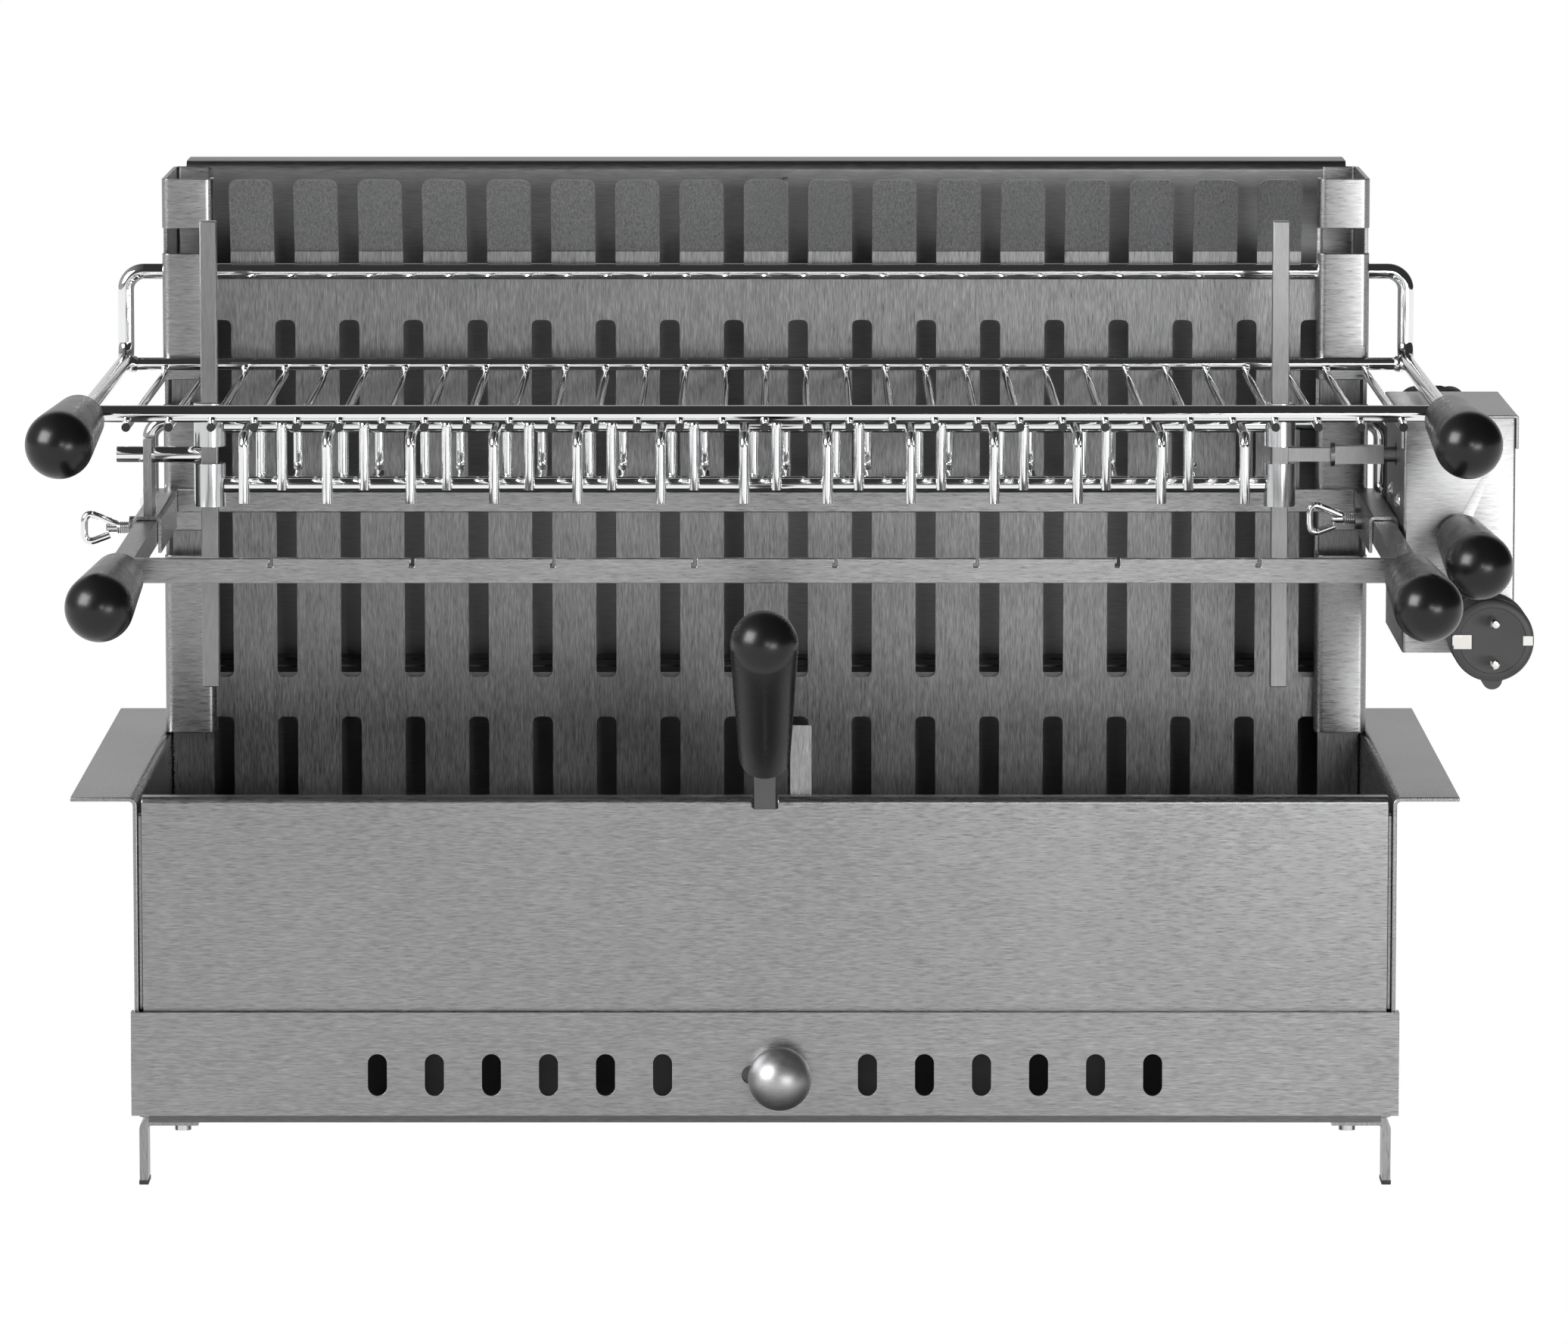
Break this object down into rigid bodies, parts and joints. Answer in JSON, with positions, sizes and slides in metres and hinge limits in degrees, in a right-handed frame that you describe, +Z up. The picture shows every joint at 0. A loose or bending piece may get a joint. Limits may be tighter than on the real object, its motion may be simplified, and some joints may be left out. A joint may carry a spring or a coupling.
{
  "type": "rotisserie barbecue",
  "caption": "Tabletop rotisserie barbecue with an upright charcoal grate, hinged grill, motor-driven spit, drip tray and ash drawer.",
  "frame": {"origin": "on the ground under the middle of the whole object's box", "axes": "+X to the right seen from the front, +Y to the back, +Z up"},
  "size_m": [0.6951, 0.5896, 0.464],
  "materials": {
    "brushed_sheet": "horizontal brushed grain, satin",
    "grate_sheet": "vertical brushed grain, satin",
    "plain_sheet": "mill finish, satin",
    "polished_rod": "bright polished",
    "black_grip": "satin gloss black",
    "motor_case": "satin dark grey",
    "lead_rubber": "matt black",
    "plug_plastic": "matt dark grey",
    "nickel": "bright nickel"
  },
  "bodies": {
    "casing": {"left_side_wall": "brushed_sheet", "right_side_wall": "brushed_sheet", "front_panel": "brushed_sheet", "floor_pan": "plain_sheet", "back_wall": "plain_sheet", "feet": "brushed_sheet", "foot_bolts": "polished_rod", "left_post": "brushed_sheet", "right_post": "brushed_sheet", "rear_panel": "brushed_sheet", "fire_grate": "grate_sheet", "fire_floor": "plain_sheet", "divider_plate": "grate_sheet", "front_tab": "polished_rod", "tray_rails": "plain_sheet", "panel_rivets": "polished_rod", "rack_hook_rod": "polished_rod", "rack_arms": "brushed_sheet", "rack_front_bar": "brushed_sheet", "rack_rear_bar": "brushed_sheet", "rack_grips": "black_grip"},
    "drawer": {"drawer_tray": "plain_sheet", "drawer_front": "brushed_sheet"},
    "damper": {"damper_plate": "plain_sheet", "damper_knob": "polished_rod"},
    "tray": {"drip_tray": "brushed_sheet", "tray_handle_stem": "brushed_sheet", "tray_grip": "black_grip"},
    "grill": {"grill_frame": "polished_rod", "grill_front_rod": "polished_rod", "grill_back_rod": "polished_rod", "grill_wires": "polished_rod", "grill_grips": "black_grip"},
    "left_rest": {"left_clamp": "brushed_sheet", "shaft_rest": "brushed_sheet"},
    "left_screw": {"left_thumbscrew": "polished_rod"},
    "motor": {"right_clamp": "brushed_sheet", "motor_housing": "brushed_sheet", "motor_lid": "brushed_sheet", "gear_motor": "motor_case", "housing_screws": "polished_rod", "motor_grip": "black_grip", "cord_gland": "lead_rubber", "cord_cleats": "motor_case", "cord_clips": "motor_case", "lead_winding": "lead_rubber", "lead_run": "lead_rubber", "lead_tie": "lead_rubber", "plug_body": "plug_plastic", "plug_contacts": "nickel"},
    "right_screw": {"right_thumbscrew": "polished_rod"},
    "spit": {"spit_bars": "grate_sheet", "spit_left_shaft": "polished_rod", "spit_drive_shaft": "polished_rod", "drive_hub": "polished_rod"},
    "upper_comb": {"upper_comb": "polished_rod", "upper_collars": "polished_rod"},
    "lower_comb": {"lower_comb": "polished_rod", "lower_collars": "polished_rod"}
  },
  "joints": [
    {"name": "drawer_slide", "type": "slide", "parent": "casing", "child": "drawer", "axis": [0, -1, 0], "range_m": [0, 0.22]},
    {"name": "damper_slide", "type": "slide", "parent": "drawer", "child": "damper", "axis": [-1, 0, 0], "range_m": [0, 0.0135]},
    {"name": "tray_lift", "type": "slide", "parent": "casing", "child": "tray", "axis": [0, 0, 1], "range_m": [0, 0.03]},
    {"name": "grill_swing", "type": "hinge", "parent": "casing", "child": "grill", "pos_m": [-0.01265, 0.18075, 0.415], "axis": [-1, 0, 0], "range_deg": [0, 75]},
    {"name": "motor_slide", "type": "slide", "parent": "casing", "child": "motor", "axis": [0, 1, 0], "range_m": [-0.02, 0.006]},
    {"name": "left_rest_slide", "type": "slide", "parent": "casing", "child": "left_rest", "axis": [0, 1, 0], "range_m": [-0.02, 0.006]},
    {"name": "left_screw_turn", "type": "hinge", "parent": "left_rest", "child": "left_screw", "pos_m": [-0.32265, 0.04675, 0.30225], "axis": [1, 0, 0], "continuous": true},
    {"name": "right_screw_turn", "type": "hinge", "parent": "motor", "child": "right_screw", "pos_m": [0.27235, 0.08675, 0.30225], "axis": [1, 0, 0], "continuous": true},
    {"name": "spit_turn", "type": "hinge", "parent": "motor", "child": "spit", "pos_m": [-0.01265, 0.04375, 0.338], "axis": [1, 0, 0], "continuous": true},
    {"name": "upper_comb_slide", "type": "slide", "parent": "spit", "child": "upper_comb", "axis": [0, 0, 1], "range_m": [0, 0.006]},
    {"name": "lower_comb_slide", "type": "slide", "parent": "spit", "child": "lower_comb", "axis": [0, 0, -1], "range_m": [0, 0.006]}
  ],
  "couplings": [
    {"joint": "left_rest_slide", "follows": "motor_slide", "ratio": 1}
  ]
}
